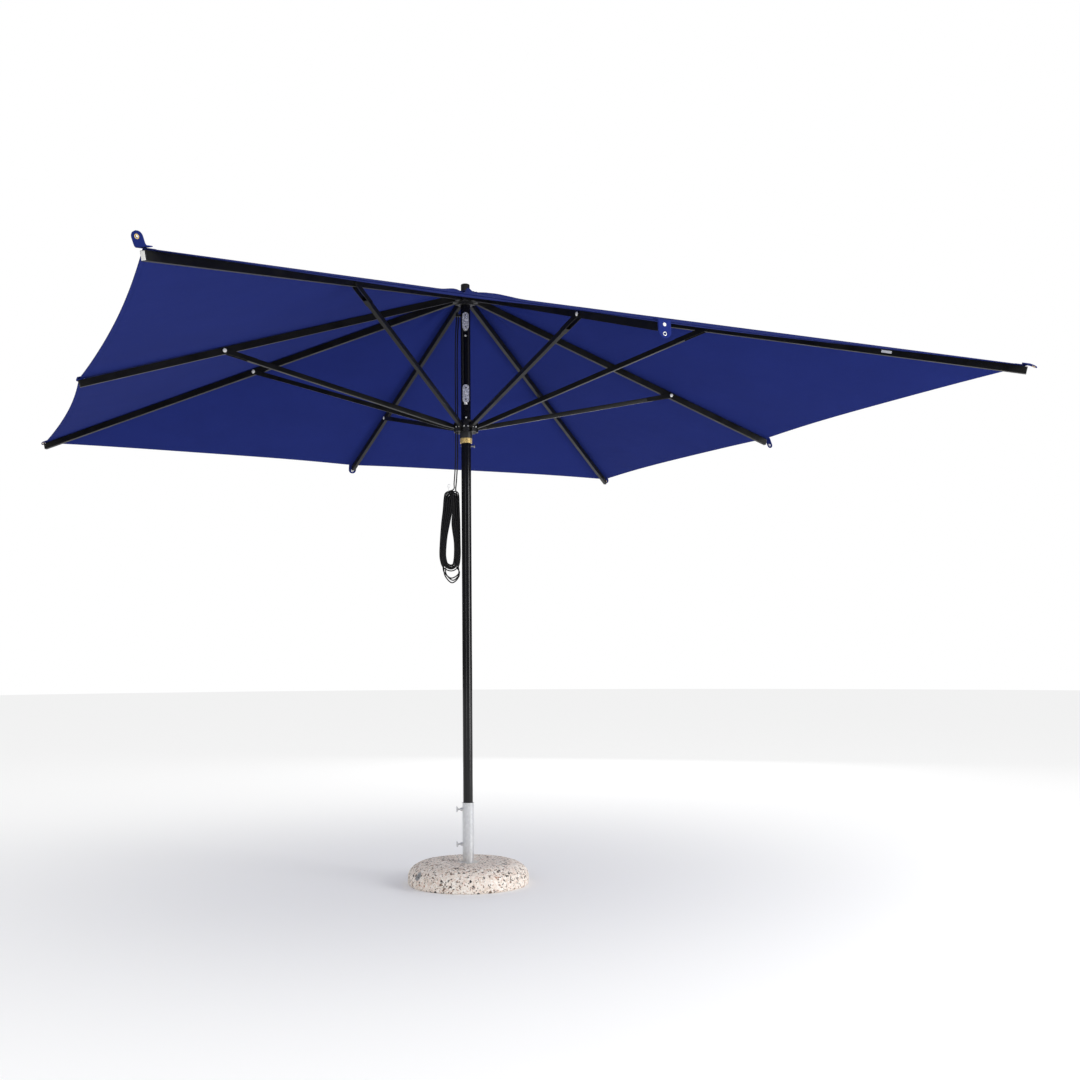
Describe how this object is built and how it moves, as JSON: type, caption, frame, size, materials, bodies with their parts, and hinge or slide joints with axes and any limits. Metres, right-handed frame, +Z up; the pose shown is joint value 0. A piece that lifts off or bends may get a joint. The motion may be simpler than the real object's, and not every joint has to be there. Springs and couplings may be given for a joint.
{
  "type": "patio umbrella",
  "caption": "Square market umbrella on a round stone base: ribbed fabric canopy raised by a sliding runner with a rope tackle and a locking pin.",
  "frame": {"origin": "centre of the base's underside, on the pole's axis", "axes": "+Z up along the pole; X and Y along the side ribs, so the canopy's corners lie on the diagonals; the tackle faces -Y, turned 22.5 degrees towards -X"},
  "size_m": [3.0144, 3.0144, 2.452],
  "materials": {
    "stone": "exposed aggregate, pinkish beige with white, brown, black and terracotta chips",
    "galvanised_steel": "zinc plated, satin",
    "stainless_steel": "polished stainless",
    "brass": "satin brass",
    "pole_paint": "gloss black paint on aluminium tube",
    "rib_paint": "black powder coat on aluminium profile",
    "black_plastic": "moulded black plastic, satin",
    "canopy_fabric": "blue woven polyester",
    "rope": "braided black cord"
  },
  "bodies": {
    "base": {"base_block": "stone", "base_inset": "galvanised_steel", "base_tube": "galvanised_steel"},
    "upper_thumb_screw": {"thumb_screw_upper": "galvanised_steel"},
    "lower_thumb_screw": {"thumb_screw_lower": "galvanised_steel"},
    "mast": {"mast_tube": "pole_paint", "mast_foot_plug": "black_plastic", "top_hub": "black_plastic", "hub_pivot_ring": "stainless_steel", "canopy_crown": "canopy_fabric", "clamp_disc": "black_plastic", "finial": "black_plastic", "upper_block": "stainless_steel", "upper_sheave_axle": "stainless_steel", "rope_guide": "black_plastic", "rope_tail": "rope", "rope_return": "rope", "rope_hank": "rope", "rope_fall_left": "rope", "rope_fall_right": "rope"},
    "pin": {"locking_pin": "stainless_steel"},
    "upper_sheave": {"upper_sheave": "black_plastic"},
    "runner": {"runner": "black_plastic", "brass_collar": "brass", "lower_block": "stainless_steel", "lower_sheave_axle": "stainless_steel"},
    "lower_sheave": {"lower_sheave": "black_plastic"},
    "arm_right": {"rib_right": "rib_paint", "rib_cap_right": "black_plastic", "canopy_right": "canopy_fabric"},
    "strut_right": {"strut_right": "rib_paint"},
    "arm_back": {"rib_back": "rib_paint", "rib_cap_back": "black_plastic", "canopy_back": "canopy_fabric"},
    "strut_back": {"strut_back": "rib_paint"},
    "arm_left": {"rib_left": "rib_paint", "rib_cap_left": "black_plastic", "canopy_left": "canopy_fabric"},
    "strut_left": {"strut_left": "rib_paint"},
    "arm_front": {"rib_front": "rib_paint", "rib_cap_front": "black_plastic", "canopy_front": "canopy_fabric"},
    "strut_front": {"strut_front": "rib_paint"},
    "arm_back_right": {"rib_back_right": "rib_paint", "rib_cap_back_right": "black_plastic", "canopy_back_right": "canopy_fabric"},
    "strut_back_right": {"strut_back_right": "rib_paint"},
    "arm_back_left": {"rib_back_left": "rib_paint", "rib_cap_back_left": "black_plastic", "canopy_back_left": "canopy_fabric"},
    "strut_back_left": {"strut_back_left": "rib_paint"},
    "arm_front_left": {"rib_front_left": "rib_paint", "rib_cap_front_left": "black_plastic", "canopy_front_left": "canopy_fabric"},
    "strut_front_left": {"strut_front_left": "rib_paint"},
    "arm_front_right": {"rib_front_right": "rib_paint", "rib_cap_front_right": "black_plastic", "canopy_front_right": "canopy_fabric"},
    "strut_front_right": {"strut_front_right": "rib_paint"}
  },
  "joints": [
    {"name": "mast_lift", "type": "slide", "parent": "base", "child": "mast", "axis": [0, 0, 1], "range_m": [0, 0.3]},
    {"name": "upper_thumb_screw_turn", "type": "hinge", "parent": "base", "child": "upper_thumb_screw", "pos_m": [-0.03696, 0.01531, 0.304], "axis": [-0.9239, 0.3827, 0], "continuous": true},
    {"name": "lower_thumb_screw_turn", "type": "hinge", "parent": "base", "child": "lower_thumb_screw", "pos_m": [-0.03696, 0.01531, 0.161], "axis": [-0.9239, 0.3827, 0], "continuous": true},
    {"name": "runner_slide", "type": "slide", "parent": "mast", "child": "runner", "axis": [0, 0, 1], "range_m": [-1.405, 0], "deforming": ["rope_fall_left", "rope_fall_right", "rope_hank"]},
    {"name": "locking_pin_pull", "type": "slide", "parent": "mast", "child": "pin", "axis": [0.9239, -0.3827, 0], "range_m": [0, 0.06]},
    {"name": "upper_sheave_spin", "type": "hinge", "parent": "mast", "child": "upper_sheave", "pos_m": [-0.01167, -0.02818, 2.298], "axis": [-0.3827, -0.9239, 0], "continuous": true},
    {"name": "lower_sheave_spin", "type": "hinge", "parent": "runner", "child": "lower_sheave", "pos_m": [-0.01167, -0.02818, 2.001], "axis": [-0.3827, -0.9239, 0], "continuous": true},
    {"name": "rib_hinge_right", "type": "hinge", "parent": "mast", "child": "arm_right", "pos_m": [0.045, 0, 2.39], "axis": [0, 1, 0], "range_deg": [0, 63.84], "deforming": ["canopy_right"]},
    {"name": "strut_hinge_right", "type": "hinge", "parent": "arm_right", "child": "strut_right", "pos_m": [0.9831, 0, 2.08116], "axis": [0, 1, 0], "range_deg": [-132.81, 0]},
    {"name": "rib_hinge_back", "type": "hinge", "parent": "mast", "child": "arm_back", "pos_m": [0, 0.045, 2.39], "axis": [-1, 0, 0], "range_deg": [0, 63.84], "deforming": ["canopy_back"]},
    {"name": "strut_hinge_back", "type": "hinge", "parent": "arm_back", "child": "strut_back", "pos_m": [0, 0.9831, 2.08116], "axis": [-1, 0, 0], "range_deg": [-132.81, 0]},
    {"name": "rib_hinge_left", "type": "hinge", "parent": "mast", "child": "arm_left", "pos_m": [-0.045, 0, 2.39], "axis": [0, -1, 0], "range_deg": [0, 63.84], "deforming": ["canopy_left"]},
    {"name": "strut_hinge_left", "type": "hinge", "parent": "arm_left", "child": "strut_left", "pos_m": [-0.9831, 0, 2.08116], "axis": [0, -1, 0], "range_deg": [-132.81, 0]},
    {"name": "rib_hinge_front", "type": "hinge", "parent": "mast", "child": "arm_front", "pos_m": [0, -0.045, 2.39], "axis": [1, 0, 0], "range_deg": [0, 63.84], "deforming": ["canopy_front"]},
    {"name": "strut_hinge_front", "type": "hinge", "parent": "arm_front", "child": "strut_front", "pos_m": [0, -0.9831, 2.08116], "axis": [1, 0, 0], "range_deg": [-132.81, 0]},
    {"name": "rib_hinge_back_right", "type": "hinge", "parent": "mast", "child": "arm_back_right", "pos_m": [0.03182, 0.03182, 2.39], "axis": [-0.7071, 0.7071, 0], "range_deg": [0, 66.05], "deforming": ["canopy_back_right"]},
    {"name": "strut_hinge_back_right", "type": "hinge", "parent": "arm_back_right", "child": "strut_back_right", "pos_m": [0.7016, 0.7016, 2.17696], "axis": [-0.7071, 0.7071, 0], "range_deg": [-126.92, 0]},
    {"name": "rib_hinge_back_left", "type": "hinge", "parent": "mast", "child": "arm_back_left", "pos_m": [-0.03182, 0.03182, 2.39], "axis": [-0.7071, -0.7071, 0], "range_deg": [0, 66.05], "deforming": ["canopy_back_left"]},
    {"name": "strut_hinge_back_left", "type": "hinge", "parent": "arm_back_left", "child": "strut_back_left", "pos_m": [-0.7016, 0.7016, 2.17696], "axis": [-0.7071, -0.7071, 0], "range_deg": [-126.92, 0]},
    {"name": "rib_hinge_front_left", "type": "hinge", "parent": "mast", "child": "arm_front_left", "pos_m": [-0.03182, -0.03182, 2.39], "axis": [0.7071, -0.7071, 0], "range_deg": [0, 66.05], "deforming": ["canopy_front_left"]},
    {"name": "strut_hinge_front_left", "type": "hinge", "parent": "arm_front_left", "child": "strut_front_left", "pos_m": [-0.7016, -0.7016, 2.17696], "axis": [0.7071, -0.7071, 0], "range_deg": [-126.92, 0]},
    {"name": "rib_hinge_front_right", "type": "hinge", "parent": "mast", "child": "arm_front_right", "pos_m": [0.03182, -0.03182, 2.39], "axis": [0.7071, 0.7071, 0], "range_deg": [0, 66.05], "deforming": ["canopy_front_right"]},
    {"name": "strut_hinge_front_right", "type": "hinge", "parent": "arm_front_right", "child": "strut_front_right", "pos_m": [0.7016, -0.7016, 2.17696], "axis": [0.7071, 0.7071, 0], "range_deg": [-126.92, 0]}
  ],
  "couplings": [
    {"joint": "rib_hinge_right", "follows": "runner_slide", "rad_per_m": -0.79247},
    {"joint": "strut_hinge_right", "follows": "runner_slide", "rad_per_m": 1.6492},
    {"joint": "rib_hinge_back", "follows": "runner_slide", "rad_per_m": -0.79247},
    {"joint": "strut_hinge_back", "follows": "runner_slide", "rad_per_m": 1.6492},
    {"joint": "rib_hinge_left", "follows": "runner_slide", "rad_per_m": -0.79247},
    {"joint": "strut_hinge_left", "follows": "runner_slide", "rad_per_m": 1.6492},
    {"joint": "rib_hinge_front", "follows": "runner_slide", "rad_per_m": -0.79247},
    {"joint": "strut_hinge_front", "follows": "runner_slide", "rad_per_m": 1.6492},
    {"joint": "rib_hinge_back_right", "follows": "runner_slide", "rad_per_m": -0.81991},
    {"joint": "strut_hinge_back_right", "follows": "runner_slide", "rad_per_m": 1.576},
    {"joint": "rib_hinge_back_left", "follows": "runner_slide", "rad_per_m": -0.81991},
    {"joint": "strut_hinge_back_left", "follows": "runner_slide", "rad_per_m": 1.576},
    {"joint": "rib_hinge_front_left", "follows": "runner_slide", "rad_per_m": -0.81991},
    {"joint": "strut_hinge_front_left", "follows": "runner_slide", "rad_per_m": 1.576},
    {"joint": "rib_hinge_front_right", "follows": "runner_slide", "rad_per_m": -0.81991},
    {"joint": "strut_hinge_front_right", "follows": "runner_slide", "rad_per_m": 1.576}
  ]
}
